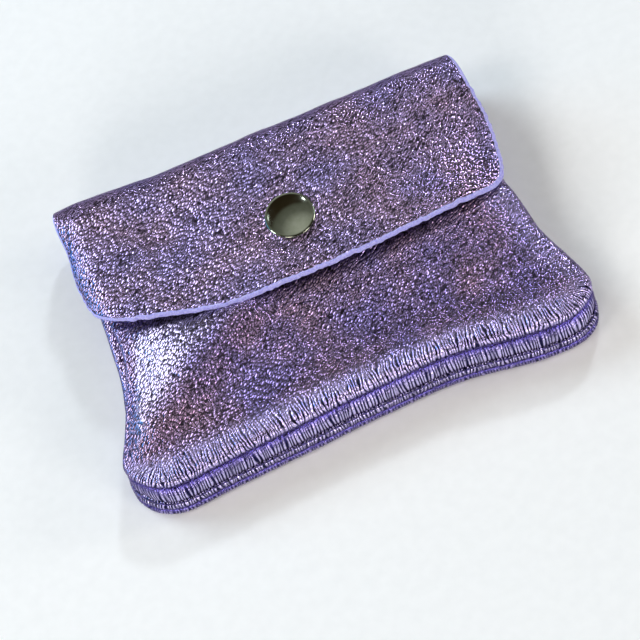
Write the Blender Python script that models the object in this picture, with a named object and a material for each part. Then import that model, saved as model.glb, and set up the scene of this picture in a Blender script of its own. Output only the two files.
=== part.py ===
"""A small three-pocket purse of soft metallic leather, lying closed on its back panel.

Two flat pouches, each sewn inside out and turned, are joined along their bottoms and
lower sides, and the back panel runs on over the top as the flap, which a press snap shuts.
X runs across the purse, +Y from the bottom seam to the fold, +Z from back to front.
"""
import math

import bmesh
import bpy
from mathutils import Matrix, Vector

MM = 0.001

# Leather and sewing
leather = 0.9 * MM
seam_roll_radius = 1.3 * MM
seam_allowance = 4.0 * MM
thread_diameter = 0.4 * MM
thread_inset = 0.42 * MM
clearance = 0.3 * MM

# Whole purse, seen from the front
overall_height = 85.0 * MM
bottom_width = 121.0 * MM
rear_mouth_width = 106.5 * MM
front_mouth_width = 101.5 * MM
corner_radius = 9.5 * MM
bottom_bow = 3.2 * MM
flare_power = 1.8
fold_depth = 9.5 * MM
wall_mouth_drop = 2.0 * MM
front_mouth_drop = 3.0 * MM

# Thickness: how far the pockets stand open
wall_crown = 0.7 * MM
front_crown = 2.3 * MM
crown_power = 6
middle_mouth_gap = 4.3 * MM

# Flap, which stands a little past the mouth of the rear pocket on each side
flap_overhang = 1.0 * MM
flap_length = 47.3 * MM
flap_bow = 4.5 * MM
flap_corner_radius = 8.0 * MM
flap_drape_length = 26.0 * MM
flap_drape_power = 4
fold_lap = 4.0 * MM
hinge_lift = 11.0 * MM

# Press snap
snap_drop = 31.0 * MM
snap_height = 2.4 * MM
snap_play = 0.15 * MM
cap_diameter = 12.6 * MM
cap_rise = 1.75 * MM
cap_metal = 0.35 * MM
cap_lip_bore = 6.4 * MM
rivet_flange = 0.3 * MM
rivet_shank_diameter = 1.8 * MM
rivet_flare_diameter = 3.2 * MM
shank_hole_diameter = 2.4 * MM
socket_diameter = 11.4 * MM
socket_lip = 0.2 * MM
socket_roof = 0.35 * MM
socket_bore = 6.4 * MM
socket_groove_diameter = 8.6 * MM
spring_wire = 0.45 * MM
spring_gap_angle = 24.0
stud_diameter = 9.8 * MM
stud_base = 0.5 * MM
stud_neck_diameter = 4.9 * MM
stud_knob_diameter = 5.7 * MM
stud_knob_top = 1.45 * MM
stud_bore = 2.3 * MM
stud_post_flange_diameter = 9.2 * MM

# How finely the curved pieces are divided
side_steps = 8
corner_steps = 5
bottom_steps = 12
roll_steps = 5
turn_steps = 28
thread_sides = 6
fill_shares = (0.0, 0.1, 0.26, 0.48, 0.74, 1.0)
spine_share = 0.55
sharp_angle = 40.0
merge_distance = 0.0003 * MM

# Places worked out from the sizes above
pouch_thickness = 4 * seam_roll_radius + clearance
rim_lean = pouch_thickness * middle_mouth_gap / overall_height
bottom_y = rim_lean - overall_height / 2
fold_y = overall_height / 2 - fold_depth
flap_width = rear_mouth_width + 2 * flap_overhang
wall_mouth_y = fold_y - wall_mouth_drop
front_mouth_y = fold_y - front_mouth_drop
roll = seam_roll_radius
rear_top = pouch_thickness
front_bottom = rear_top + clearance
front_top = front_bottom + pouch_thickness
spread_axis = Vector((0.0, bottom_y + roll, rear_top + clearance / 2))
front_tilt = math.atan2(middle_mouth_gap, front_mouth_y - spread_axis.y)
flap_axis = Vector((0.0, fold_y, hinge_lift))
flap_start_y = fold_y - fold_lap
snap_y = overall_height / 2 - snap_drop
front_frame = (
    Matrix.Translation(spread_axis)
    @ Matrix.Rotation(front_tilt, 4, "X")
    @ Matrix.Translation(-spread_axis)
)

FINISHES = {
    "foiled_leather": ((0.145, 0.082, 0.195, 1.0), 0.42, 0.75),
    "sewing_thread": ((0.190, 0.150, 0.420, 1.0), 0.70, 0.00),
    "black_nickel": ((0.105, 0.100, 0.090, 1.0), 0.12, 1.00),
    "spring_steel": ((0.420, 0.420, 0.440, 1.0), 0.25, 1.00),
}


def clear_scene():
    for old in list(bpy.data.objects):
        bpy.data.objects.remove(old, do_unlink=True)


def add_object(name, mesh, finish):
    """Put a mesh in the scene under the piece's name, with the piece's own material."""
    colour, roughness, metallic = FINISHES[finish]
    material = bpy.data.materials.new(name + "_" + finish)
    material.use_nodes = True
    shader = material.node_tree.nodes["Principled BSDF"]
    shader.inputs["Base Color"].default_value = colour
    shader.inputs["Roughness"].default_value = roughness
    shader.inputs["Metallic"].default_value = metallic
    material.diffuse_color = colour
    mesh.materials.append(material)
    mesh.shade_smooth()
    mesh.set_sharp_from_angle(angle=math.radians(sharp_angle))
    piece = bpy.data.objects.new(name, mesh)
    bpy.context.scene.collection.objects.link(piece)
    return piece


def add_pivot(name, place, tilt):
    """An empty on a joint's axis, which carries the pieces that move about it."""
    pivot = bpy.data.objects.new(name, None)
    bpy.context.scene.collection.objects.link(pivot)
    pivot.location = place
    pivot.rotation_euler = (tilt, 0.0, 0.0)
    return pivot


def hang_on(piece, pivot):
    """Parent a piece that was built in place, so that its origin lies on the pivot."""
    bpy.context.view_layer.update()
    piece.data.transform(pivot.matrix_world.inverted())
    piece.parent = pivot


def mesh_from(name, points, faces):
    """A closed mesh from points and faces, with doubled points joined and faces out."""
    mesh = bpy.data.meshes.new(name)
    mesh.from_pydata(points, [], faces)
    shape = bmesh.new()
    shape.from_mesh(mesh)
    bmesh.ops.remove_doubles(shape, verts=shape.verts, dist=merge_distance)
    bmesh.ops.recalc_face_normals(shape, faces=shape.faces)
    shape.to_mesh(mesh)
    shape.free()
    return mesh


def strip_faces(first, second, flip):
    """Quads between two rows of point numbers of the same length."""
    faces = []
    for i in range(len(first) - 1):
        quad = (first[i], first[i + 1], second[i + 1], second[i])
        faces.append(tuple(reversed(quad)) if flip else quad)
    return faces


def sheet_mesh(name, outer, inner, close_last):
    """A closed sheet between two grids of points, joined all round their borders.

    A pouch panel's last rows meet themselves along its middle, so they stay unjoined.
    """
    rows = len(outer)
    columns = len(outer[0])
    points = [p for row in outer for p in row] + [p for row in inner for p in row]
    shift = rows * columns

    def row_numbers(i, side):
        return [side * shift + i * columns + j for j in range(columns)]

    def column_numbers(j, side):
        return [side * shift + i * columns + j for i in range(rows)]

    faces = []
    for i in range(rows - 1):
        faces += strip_faces(row_numbers(i, 0), row_numbers(i + 1, 0), False)
        faces += strip_faces(row_numbers(i, 1), row_numbers(i + 1, 1), True)
    faces += strip_faces(row_numbers(0, 0), row_numbers(0, 1), True)
    if close_last:
        faces += strip_faces(row_numbers(rows - 1, 0), row_numbers(rows - 1, 1), False)
    faces += strip_faces(column_numbers(0, 0), column_numbers(0, 1), False)
    faces += strip_faces(column_numbers(columns - 1, 0), column_numbers(columns - 1, 1), True)
    return mesh_from(name, points, faces)


def half_width(y, mouth_width, mouth_y):
    """Half the width of a pouch at height y: it flares from its mouth to its bottom."""
    fall = (mouth_y - y) / (mouth_y - bottom_y)
    late = max(0.0, min(1.0, fall)) ** flare_power
    eased = late * late * (3 - 2 * late)
    return (mouth_width + (bottom_width - mouth_width) * eased) / 2


def pouch_outline(mouth_width, mouth_y):
    """The sewn edge from the left end of the mouth, round the bottom, to the right end."""
    corner_y = bottom_y + corner_radius
    corner_x = half_width(corner_y, mouth_width, mouth_y) - corner_radius
    left = []
    for i in range(side_steps):
        y = mouth_y + (corner_y - mouth_y) * i / side_steps
        left.append((-half_width(y, mouth_width, mouth_y), y))
    for i in range(corner_steps):
        turn = math.pi / 2 * i / corner_steps
        left.append((-corner_x - corner_radius * math.cos(turn),
                     corner_y - corner_radius * math.sin(turn)))
    bottom = []
    for i in range(bottom_steps + 1):
        across = 2 * i / bottom_steps - 1
        bottom.append((corner_x * across, bottom_y + bottom_bow * (1 - across ** 2) ** 2))
    right = [(-x, y) for x, y in reversed(left)]
    return left + bottom + right


def inward_normals(outline):
    """The direction into the pouch at each point of its outline; square to the mouth's ends."""
    normals = []
    last = len(outline) - 1
    for i in range(len(outline)):
        ax, ay = outline[max(i - 1, 0)]
        bx, by = outline[min(i + 1, last)]
        length = math.hypot(bx - ax, by - ay)
        normals.append((-(by - ay) / length, (bx - ax) / length))
    normals[0] = (1.0, 0.0)
    normals[last] = (-1.0, 0.0)
    return normals


def crown_height(x, y, mouth_width, mouth_y, rise):
    """How far a panel's face stands proud of its sewn edge, most along the middle."""
    across = abs(x) / (half_width(y, mouth_width, mouth_y) - roll)
    down = (mouth_y - y) / (mouth_y - bottom_y - roll)
    across = min(1.0, across)
    down = max(0.0, min(1.0, down))
    return rise * (1 - across ** crown_power) * (1 - down ** crown_power)


def seam_profile(radius, allowance_drop):
    """Inset and drop of one side of the leather, from the cut allowance round the roll."""
    places = [(roll + seam_allowance, allowance_drop)]
    for i in range(roll_steps + 1):
        turn = math.pi * (i / roll_steps - 0.5)
        places.append((roll - radius * math.cos(turn), roll - radius * math.sin(turn)))
    return places


def panel_mesh(name, mouth_width, mouth_y, face_z, up, rise):
    """One pouch panel: a crowned face, a rolled edge on three sides and its allowance."""
    outline = pouch_outline(mouth_width, mouth_y)
    normals = inward_normals(outline)
    spine_bottom = mouth_y - (mouth_y - bottom_y) * spine_share

    def place(j, inset):
        return (outline[j][0] + normals[j][0] * inset, outline[j][1] + normals[j][1] * inset)

    def grid(radius, allowance_drop, face_drop):
        rows = []
        for inset, drop in seam_profile(radius, allowance_drop):
            row = []
            for j in range(len(outline)):
                x, y = place(j, inset)
                row.append((x, y, face_z - up * drop))
            rows.append(row)
        rows.pop()
        for share in fill_shares:
            row = []
            for j in range(len(outline)):
                x, y = place(j, roll)
                spine_y = max(spine_bottom, y)
                x -= x * share
                y += (spine_y - y) * share
                crown = crown_height(x, y, mouth_width, mouth_y, rise)
                row.append((x, y, face_z - up * face_drop + crown))
            rows.append(row)
        return rows

    outer = grid(roll, 2 * roll, 0.0)
    inner = grid(roll - leather, 2 * roll - leather, leather)
    return sheet_mesh(name, outer, inner, False)


def front_face_z(x, y):
    """Height of the front panel's outer face over the table, tilted as the pouch lies."""
    lean = math.tan(front_tilt) * (y - spread_axis.y)
    crown = crown_height(x, y, front_mouth_width, front_mouth_y, front_crown)
    return spread_axis.z + lean + (front_top + crown - spread_axis.z) / math.cos(front_tilt)


def flap_inner_z(x, y):
    """Height of the flap's inner face: level across at the fold, and from there draped.

    It lies on the pouch at its sides and is held up by the snap between them.
    """
    across = min(1.0, abs(x) / (flap_width / 2))
    lift = clearance + (snap_height - clearance) * (1 - across ** flap_drape_power)
    draped = front_face_z(x, y) + lift / math.cos(front_tilt)
    level = front_face_z(0.0, y) + snap_height / math.cos(front_tilt)
    away = max(0.0, min(1.0, (fold_y - y) / flap_drape_length))
    share = away * away * (3 - 2 * away)
    return level + (draped - level) * share


def flap_columns():
    """Places across the flap, close together where its corners are round."""
    straight = flap_width / 2 - flap_corner_radius
    half = []
    for i in range(1, corner_steps + 1):
        turn = math.pi / 2 * i / corner_steps
        half.append(straight + flap_corner_radius * math.sin(turn))
    middle = [-straight + 2 * straight * i / bottom_steps for i in range(bottom_steps + 1)]
    return [-x for x in reversed(half)] + middle + half


def flap_edge_y(x):
    """The flap's free edge: a shallow bow with a round corner at each end."""
    lowest = overall_height / 2 - flap_length
    edge = lowest + flap_bow * (2 * x / flap_width) ** 2
    past = abs(x) - (flap_width / 2 - flap_corner_radius)
    if past > 0.0:
        edge += flap_corner_radius - math.sqrt(max(0.0, flap_corner_radius ** 2 - past ** 2))
    return edge


def flap_mesh(name):
    """The flap from the fold's end to its free edge."""
    outer = []
    inner = []
    start = flap_start_y - clearance
    for i in range(side_steps + 1):
        outer_row = []
        inner_row = []
        for x in flap_columns():
            y = start + (flap_edge_y(x) - start) * i / side_steps
            z = flap_inner_z(x, y)
            inner_row.append((x, y, z))
            outer_row.append((x, y, z + leather))
        outer.append(outer_row)
        inner.append(inner_row)
    return sheet_mesh(name, outer, inner, True)


def fold_mesh(name):
    """The leather that turns over the top, from the back panel's edge to the flap's start."""
    outer = []
    inner = []
    steps = 2 * side_steps
    for i in range(steps + 1):
        turn = math.pi * (i / steps - 0.5)
        outer.append(fold_row(turn, fold_depth, 0.0))
        inner.append(fold_row(turn, fold_depth - leather, leather))
    for i in (1, 2):
        y = fold_y - fold_lap * i / 2
        outer.append([(x, y, flap_inner_z(x, y) + leather) for x in flap_columns()])
        inner.append([(x, y, flap_inner_z(x, y)) for x in flap_columns()])
    return sheet_mesh(name, outer, inner, True)


def fold_row(turn, reach, inset):
    """One row of the fold across the purse, at an angle round the turn.

    It widens from the sewn back panel to the flap.
    """
    row = []
    share = (1 + math.sin(turn)) / 2
    narrow = rear_mouth_width / flap_width
    spread = narrow + (1 - narrow) * share
    for x in flap_columns():
        top = flap_inner_z(x, fold_y) + leather
        middle = top / 2
        rise = middle - inset
        row.append((x * spread, fold_y + reach * math.cos(turn), middle + rise * math.sin(turn)))
    return row


def tube_mesh(name, points, diameter):
    """A closed round tube along points that lie nearly level, with flat ends."""
    radius = diameter / 2
    rings = []
    last = len(points) - 1
    for i, point in enumerate(points):
        along = points[min(i + 1, last)] - points[max(i - 1, 0)]
        side = along.cross(Vector((0.0, 0.0, 1.0))).normalized()
        rise = side.cross(along).normalized()
        ring = []
        for k in range(thread_sides):
            turn = 2 * math.pi * k / thread_sides
            ring.append(point + side * (radius * math.cos(turn)) + rise * (radius * math.sin(turn)))
        rings.append(ring)
    corners = [tuple(p) for ring in rings for p in ring]
    faces = [tuple(range(thread_sides))]
    for i in range(last):
        for k in range(thread_sides):
            after = (k + 1) % thread_sides
            faces.append((i * thread_sides + k, i * thread_sides + after,
                          (i + 1) * thread_sides + after, (i + 1) * thread_sides + k))
    faces.append(tuple(last * thread_sides + k for k in reversed(range(thread_sides))))
    return mesh_from(name, corners, faces)


def thread_mesh(name, mouth_width, mouth_y, z, first, stop):
    """A sewing thread sunk in the groove between two rolled edges."""
    outline = pouch_outline(mouth_width, mouth_y)
    normals = inward_normals(outline)
    points = []
    for i in range(first, stop):
        x = outline[i][0] + normals[i][0] * thread_inset
        y = outline[i][1] + normals[i][1] * thread_inset
        points.append(Vector((x, y, z)))
    return tube_mesh(name, points, thread_diameter)


def turned_mesh(name, profile):
    """A turned piece: its outline, as radius and height, spun about the local Z axis."""
    count = len(profile)
    points = []
    for k in range(turn_steps):
        turn = 2 * math.pi * k / turn_steps
        points += [(r * math.cos(turn), r * math.sin(turn), z) for r, z in profile]
    faces = []
    for k in range(turn_steps):
        here = k * count
        there = (k + 1) % turn_steps * count
        for i in range(count):
            after = (i + 1) % count
            if profile[i][0] > 0.0 or profile[after][0] > 0.0:
                faces.append((here + i, here + after, there + after, there + i))
    return mesh_from(name, points, faces)


def bore_hole(piece, frame, diameter, pivot):
    """Cut a round hole for a rivet's shank, square through a panel."""
    reach = 2 * snap_height
    bpy.ops.mesh.primitive_cylinder_add(vertices=turn_steps, radius=diameter / 2, depth=2 * reach)
    cutter = bpy.context.object
    cutter.name = piece.name + "_hole_cutter"
    cutter.data.transform(frame)
    cutter.hide_render = True
    cutter.display_type = "WIRE"
    cut = piece.modifiers.new("rivet_hole", "BOOLEAN")
    cut.operation = "DIFFERENCE"
    cut.solver = "EXACT"
    cut.object = cutter
    hang_on(cutter, pivot)


def cap_profile():
    """The mirror-polished cap: a shallow dome, crimped to a lip under the rivet's flange."""
    radius = cap_diameter / 2
    base = snap_height + leather + snap_play
    edge = 2 * cap_metal
    outer = []
    inner = []
    for i in range(corner_steps + 1):
        share = i / corner_steps
        swell = 1 - share * share
        outer.append((radius * share, base + edge + (cap_rise - edge) * swell))
        inner.append(((radius - cap_metal) * share,
                      base + edge - cap_metal / 2 + (cap_rise - edge - cap_metal / 2) * swell))
    lip = [
        (radius, base + cap_metal / 2),
        (radius - cap_metal, base),
        (cap_lip_bore / 2, base),
        (cap_lip_bore / 2, base + cap_metal / 2),
        (radius - 2 * cap_metal, base + cap_metal / 2),
    ]
    return outer + lip + list(reversed(inner))


def cap_rivet_profile():
    """The rivet that holds cap and socket together through the flap's leather."""
    flange_bottom = snap_height + leather + snap_play + cap_metal
    flange_radius = (cap_diameter + cap_lip_bore) / 4 - cap_metal
    roof_bottom = snap_height - snap_play - socket_roof
    shank = rivet_shank_diameter / 2
    flare = rivet_flare_diameter / 2
    flare_top = roof_bottom - snap_play
    return [
        (0.0, flange_bottom + rivet_flange),
        (flange_radius, flange_bottom + rivet_flange),
        (flange_radius, flange_bottom),
        (shank, flange_bottom),
        (shank, flare_top),
        (flare, flare_top),
        (flare, flare_top - snap_play),
        (0.0, flare_top - snap_play),
    ]


def socket_profile():
    """The socket under the flap, with the groove that its spring ring lies in."""
    bottom = snap_play + stud_base + snap_play
    top = snap_height - snap_play
    groove_bottom = bottom + socket_lip
    groove_top = groove_bottom + spring_wire + snap_play
    bore = socket_bore / 2
    groove = socket_groove_diameter / 2
    hole = shank_hole_diameter / 2
    return [
        (bore, bottom),
        (socket_diameter / 2 - socket_lip, bottom),
        (socket_diameter / 2, bottom + socket_lip),
        (socket_diameter / 2, top),
        (hole, top),
        (hole, top - socket_roof),
        (bore, top - socket_roof),
        (bore, groove_top),
        (groove, groove_top),
        (groove, groove_bottom),
        (bore, groove_bottom),
    ]


def stud_profile():
    """The stud on the front panel: a broad base, a neck and a rounded knob."""
    bore = stud_bore / 2
    base = snap_play
    neck = stud_neck_diameter / 2
    knob = stud_knob_diameter / 2
    widest = stud_knob_top - 2 * snap_play
    return [
        (bore, base),
        (stud_diameter / 2, base),
        (stud_diameter / 2, base + stud_base / 2),
        (stud_diameter / 2 - stud_base / 2, base + stud_base),
        (neck, base + stud_base),
        (neck, widest - snap_play),
        (knob, widest),
        (knob - snap_play, stud_knob_top - snap_play / 2),
        (neck - snap_play, stud_knob_top),
        (bore, stud_knob_top),
    ]


def stud_rivet_profile():
    """The rivet that holds the stud from inside the front pocket."""
    top = -leather - snap_play
    flange = stud_post_flange_diameter / 2
    shank = rivet_shank_diameter / 2
    return [
        (0.0, top - rivet_flange),
        (flange, top - rivet_flange),
        (flange, top),
        (shank, top),
        (shank, stud_knob_top - stud_base),
        (0.0, stud_knob_top - stud_base),
    ]


def spring_mesh(name):
    """The split ring of spring wire round the stud's neck."""
    middle = (socket_bore + spring_wire) / 2
    height = 2 * snap_play + stud_base + socket_lip + (spring_wire + snap_play) / 2
    gap = math.radians(spring_gap_angle)
    points = []
    for i in range(turn_steps + 1):
        turn = gap / 2 + (2 * math.pi - gap) * i / turn_steps
        points.append(Vector((middle * math.cos(turn), middle * math.sin(turn), height)))
    return tube_mesh(name, points, spring_wire)


def build_rear_pouch():
    """Back panel, its inner wall and the seam between them; nothing here moves."""
    panel = panel_mesh("back_panel", rear_mouth_width, fold_y - clearance, 0.0, -1, 0.0)
    add_object("back_panel", panel, "foiled_leather")
    wall = panel_mesh("rear_pocket_wall", rear_mouth_width, wall_mouth_y, rear_top, 1, wall_crown)
    add_object("rear_pocket_wall", wall, "foiled_leather")
    count = len(pouch_outline(rear_mouth_width, wall_mouth_y))
    seam = thread_mesh("rear_seam_thread", rear_mouth_width, wall_mouth_y, rear_top / 2, 0, count)
    add_object("rear_seam_thread", seam, "sewing_thread")
    first = side_steps
    join = thread_mesh("joining_thread", front_mouth_width, front_mouth_y,
                       rear_top + clearance / 2, first, count - first)
    add_object("joining_thread", join, "sewing_thread")


def build_front_pouch(pivot, snap_frame):
    """The front pouch, which fans out about the bottom, and the stud half of the snap."""
    panel = panel_mesh("front_panel", front_mouth_width, front_mouth_y, front_top, 1, front_crown)
    wall = panel_mesh("front_pocket_wall", front_mouth_width, front_mouth_y, front_bottom, -1,
                      wall_crown)
    count = len(pouch_outline(front_mouth_width, front_mouth_y))
    seam_z = (front_bottom + front_top) / 2
    seam = thread_mesh("front_seam_thread", front_mouth_width, front_mouth_y, seam_z, 0, count)
    stand = ((panel, "foiled_leather"), (wall, "foiled_leather"), (seam, "sewing_thread"))
    for mesh, finish in stand:
        mesh.transform(front_frame)
        piece = add_object(mesh.name, mesh, finish)
        hang_on(piece, pivot)
        if piece.name == "front_panel":
            bore_hole(piece, snap_frame, shank_hole_diameter, pivot)
    for name, profile in (("snap_stud", stud_profile()), ("snap_stud_rivet", stud_rivet_profile())):
        mesh = turned_mesh(name, profile)
        mesh.transform(snap_frame)
        hang_on(add_object(name, mesh, "black_nickel"), pivot)


def build_flap(pivot, snap_frame):
    """The flap and the cap half of the snap; the fold itself bends as the flap opens."""
    add_object("flap_fold", fold_mesh("flap_fold"), "foiled_leather")
    flap = add_object("flap", flap_mesh("flap"), "foiled_leather")
    hang_on(flap, pivot)
    bore_hole(flap, snap_frame, shank_hole_diameter, pivot)
    pieces = (
        ("snap_cap", turned_mesh("snap_cap", cap_profile()), "black_nickel"),
        ("snap_cap_rivet", turned_mesh("snap_cap_rivet", cap_rivet_profile()), "black_nickel"),
        ("snap_socket", turned_mesh("snap_socket", socket_profile()), "black_nickel"),
        ("snap_spring", spring_mesh("snap_spring"), "spring_steel"),
    )
    for name, mesh, finish in pieces:
        mesh.transform(snap_frame)
        hang_on(add_object(name, mesh, finish), pivot)


def main():
    clear_scene()
    snap_place = Vector((0.0, snap_y, front_face_z(0.0, snap_y)))
    snap_frame = Matrix.Translation(snap_place) @ Matrix.Rotation(front_tilt, 4, "X")
    pouch_pivot = add_pivot("front_pouch_pivot", spread_axis, front_tilt)
    flap_pivot = add_pivot("flap_pivot", flap_axis, 0.0)
    build_rear_pouch()
    build_front_pouch(pouch_pivot, snap_frame)
    build_flap(flap_pivot, snap_frame)


main()
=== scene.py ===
"""A small three-pocket purse of soft metallic leather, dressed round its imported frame.

The leather is rebuilt as thin closed shells: four pouch panels with rolled, puckered seams,
and a flap that runs on round the fold. Each shell has its own finish on the grain side, the
flesh side and the cut edge. X runs across the purse, +Y from the bottom seam to the fold and
+Z from the back to the front, in metres.
"""

import math
from functools import partial

import bmesh
import bpy
import numpy as np
from mathutils import Matrix, Vector
from mathutils.geometry import delaunay_2d_cdt
from mathutils.kdtree import KDTree


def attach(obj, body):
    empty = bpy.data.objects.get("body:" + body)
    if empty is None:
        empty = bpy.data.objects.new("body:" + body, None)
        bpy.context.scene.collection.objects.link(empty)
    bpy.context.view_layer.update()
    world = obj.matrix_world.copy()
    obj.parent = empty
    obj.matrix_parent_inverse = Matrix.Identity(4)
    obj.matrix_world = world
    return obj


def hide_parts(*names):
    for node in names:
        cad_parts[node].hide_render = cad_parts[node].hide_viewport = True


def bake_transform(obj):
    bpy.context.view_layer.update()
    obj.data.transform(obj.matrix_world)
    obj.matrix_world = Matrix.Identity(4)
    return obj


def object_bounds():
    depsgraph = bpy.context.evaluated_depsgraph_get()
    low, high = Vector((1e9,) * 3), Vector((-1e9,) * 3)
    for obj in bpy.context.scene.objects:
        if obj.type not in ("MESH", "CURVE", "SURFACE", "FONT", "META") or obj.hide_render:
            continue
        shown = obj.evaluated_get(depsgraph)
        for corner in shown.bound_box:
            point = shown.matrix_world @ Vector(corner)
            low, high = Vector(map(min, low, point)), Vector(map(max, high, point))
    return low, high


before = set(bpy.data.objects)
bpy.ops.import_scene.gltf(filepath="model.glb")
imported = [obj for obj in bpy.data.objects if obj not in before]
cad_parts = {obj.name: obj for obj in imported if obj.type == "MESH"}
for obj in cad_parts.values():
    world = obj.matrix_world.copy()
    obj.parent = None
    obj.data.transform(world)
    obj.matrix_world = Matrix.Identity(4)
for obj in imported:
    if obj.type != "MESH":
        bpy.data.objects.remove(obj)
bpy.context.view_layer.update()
MM = 0.001

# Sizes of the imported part, as its source has them
LEATHER = 0.9 * MM
ROLL = 1.3 * MM
ALLOWANCE = 4 * MM
GAP = 0.3 * MM
THREAD = 0.4 * MM
THREAD_INSET = 0.42 * MM
HEIGHT = 85 * MM
BOTTOM_WIDTH = 121 * MM
REAR_WIDTH = 106.5 * MM
FRONT_WIDTH = 101.5 * MM
CORNER = 9.5 * MM
BOTTOM_BOW = 3.2 * MM
FLARE_POWER = 1.8
FOLD_DEPTH = 9.5 * MM
WALL_CROWN = 0.7 * MM
FRONT_CROWN = 2.3 * MM
CROWN_POWER = 6
MOUTH_GAP = 4.3 * MM
FLAP_WIDTH = 108.5 * MM
FLAP_LENGTH = 47.3 * MM
FLAP_BOW = 4.5 * MM
FLAP_CORNER = 8 * MM
DRAPE_LENGTH = 26 * MM
FOLD_LAP = 4 * MM
SNAP_DROP = 31 * MM
SNAP_HEIGHT = 2.4 * MM
SNAP_PLAY = 0.15 * MM
CAP_RADIUS = 6.3 * MM
CAP_RISE = 1.75 * MM
CAP_METAL = 0.35 * MM
CAP_BORE = 3.2 * MM
SHANK_HOLE = 1.2 * MM

POUCH = 4 * ROLL + GAP
BOTTOM_Y = POUCH * MOUTH_GAP / HEIGHT - HEIGHT / 2
FOLD_Y = HEIGHT / 2 - FOLD_DEPTH
WALL_MOUTH_Y = FOLD_Y - 2 * MM
FRONT_MOUTH_Y = FOLD_Y - 3 * MM
REAR_TOP = POUCH
FRONT_BOTTOM = REAR_TOP + GAP
FRONT_TOP = FRONT_BOTTOM + POUCH
SPREAD_AXIS = Vector((0.0, BOTTOM_Y + ROLL, REAR_TOP + GAP / 2))
TILT = math.atan2(MOUTH_GAP, FRONT_MOUTH_Y - SPREAD_AXIS.y)
SNAP_Y = HEIGHT / 2 - SNAP_DROP
FLAP_START_Y = FOLD_Y - FOLD_LAP
SNAP_HOLE = (np.array((0.0, SNAP_Y)), SHANK_HOLE)
FRONT_FRAME = (Matrix.Translation(SPREAD_AXIS) @ Matrix.Rotation(TILT, 4, "X")
               @ Matrix.Translation(-SPREAD_AXIS))

# Where the leather has settled, in mm: place, reach, least height or 0 for none, and the move
SETTLED = (
    (-57.5, -30, 9, 0, -1.3, 0), (-53, -6, 8, 0, 0.5, 0),
    (-51.5, -4, 9, 6, 0.8, 0), (-54.4, 19, 8, 12, -0.9, 0),
    (-55.7, 41, 5, 12, 0.6, 0), (-47, 43, 11, 0, 0, 1.1),
    (55, 18, 7, 12, 0.9, 0), (56, 40, 6, 12, -0.5, -0.3),
    (53.5, 5, 3, 12, -0.5, 0), (52.3, -4, 7, 0, 1, 0),
    (57, -25, 7, 0, 0.9, 0.2), (57.5, -37, 6, 0, 0.7, -0.3),
    (23, -45, 13, 0, 0.1, 1.5), (-15, -44.5, 15, 0, 0, -0.85),
    (-49, -47, 6, 0, 0, -0.7), (-22, 0, 10, 14, 0, -0.7),
)

# How finely the leather is divided
EVEN_PITCH = 0.2 * MM
SEAM_PITCH = 0.13 * MM
SIDE_PITCH = 0.42 * MM
FACE_PITCH = 0.6 * MM
HIDDEN_PITCH = 2.4 * MM
BAND_WIDTH = 5 * MM
BAND_ROWS = 11
ROLL_STEPS = 9
HOLE_STEPS = 24
FOLD_STEPS = 40
TURNED_STEPS = 96
MOUTH_PITCH = 1.2 * MM

# How strongly the sewing gathers the leather at the sides, against 1 at the bottom
LEFT_PULL, RIGHT_PULL = 0.12, 0.6
PUCKER_DEPTH = {"back_panel": 0.08 * MM, "rear_pocket_wall": 0.09 * MM,
                "front_pocket_wall": 0.08 * MM, "front_panel": 0.1 * MM}

# What counts as the distance of a seam: over the flap, which has none, and round a hole
NO_SEAM = 30 * MM
FAR_FROM_SEAM = 20 * MM

# The flap's bent left margin: where it starts, and how tightly it turns
MARGIN_START = -48.5 * MM
MARGIN_RADIUS = 7 * MM

# The slanting ridge of the front panel: its middle, and its reach on either side in mm
RIDGE_X, RIDGE_Y = -19 * MM, -3 * MM
RIDGE_BEFORE = 6.5
RIDGE_PAST = 24

# The photograph's viewpoint, fitted to its outline, in degrees, metres and pixels
CAMERA_UP, CAMERA_TURN, CAMERA_ROLL = 60.104, -4.327, 18.925
CAMERA_DISTANCE = 473.99 * MM
CAMERA_AIM = Vector((-3.107 * MM, -11.91 * MM, 8 * MM))
FOCAL_PIXELS = 1943.4
FRAME_PIXELS = 640

FLOOR_REACH, FLOOR_SQUARES = 4.0, 8
LAMP_DISTANCE = 1.1
# Name, azimuth and elevation in degrees, width in metres, power in watts, and colour
LAMPS = (
    ("window", -43, 40, 0.58, 5.8, "#E8F5FC"), ("small_far_lamp", 32, 42, 0.13, 2.4, "#ECF7FF"),
    ("left_lamp", -105, 48, 0.45, 2.7, "#FFFAF4"), ("front_left_lamp", -148, 20, 0.5, 4.1, "#FFFAF4"),
    ("front_right_lamp", 146, 20, 0.5, 3.8, "#FFFAF4"), ("right_lamp", 95, 22, 0.32, 2.4, "#FFFAF4"))


# Kinds of node that are used often, some with the settings that they are used with
MATH, VECTOR, MIX = "ShaderNodeMath", "ShaderNodeVectorMath", "ShaderNodeMix"
NOISE, RAMP, BUMP = "ShaderNodeTexNoise", "ShaderNodeValToRGB", "ShaderNodeBump"
RANGE, JOINED, PLACE = "ShaderNodeMapRange", "ShaderNodeCombineXYZ", "ShaderNodeTexCoord"
NAMED = "GeometryNodeInputNamedAttribute"
PLUS, MINUS, TIMES, OVER, TIMES_PLUS = (
    (MATH, {"operation": word}) for word in ("ADD", "SUBTRACT", "MULTIPLY", "DIVIDE", "MULTIPLY_ADD"))
VECTOR_MINUS, DOT = ((VECTOR, {"operation": word}) for word in ("SUBTRACT", "DOT_PRODUCT"))
SOFT_RANGE = (RANGE, {"interpolation_type": "SMOOTHSTEP"})
COLOUR_MIX = (MIX, {"data_type": "RGBA"})
HALF = (0.5, 0.5, 0.5)


# Colour and nodes

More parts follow.
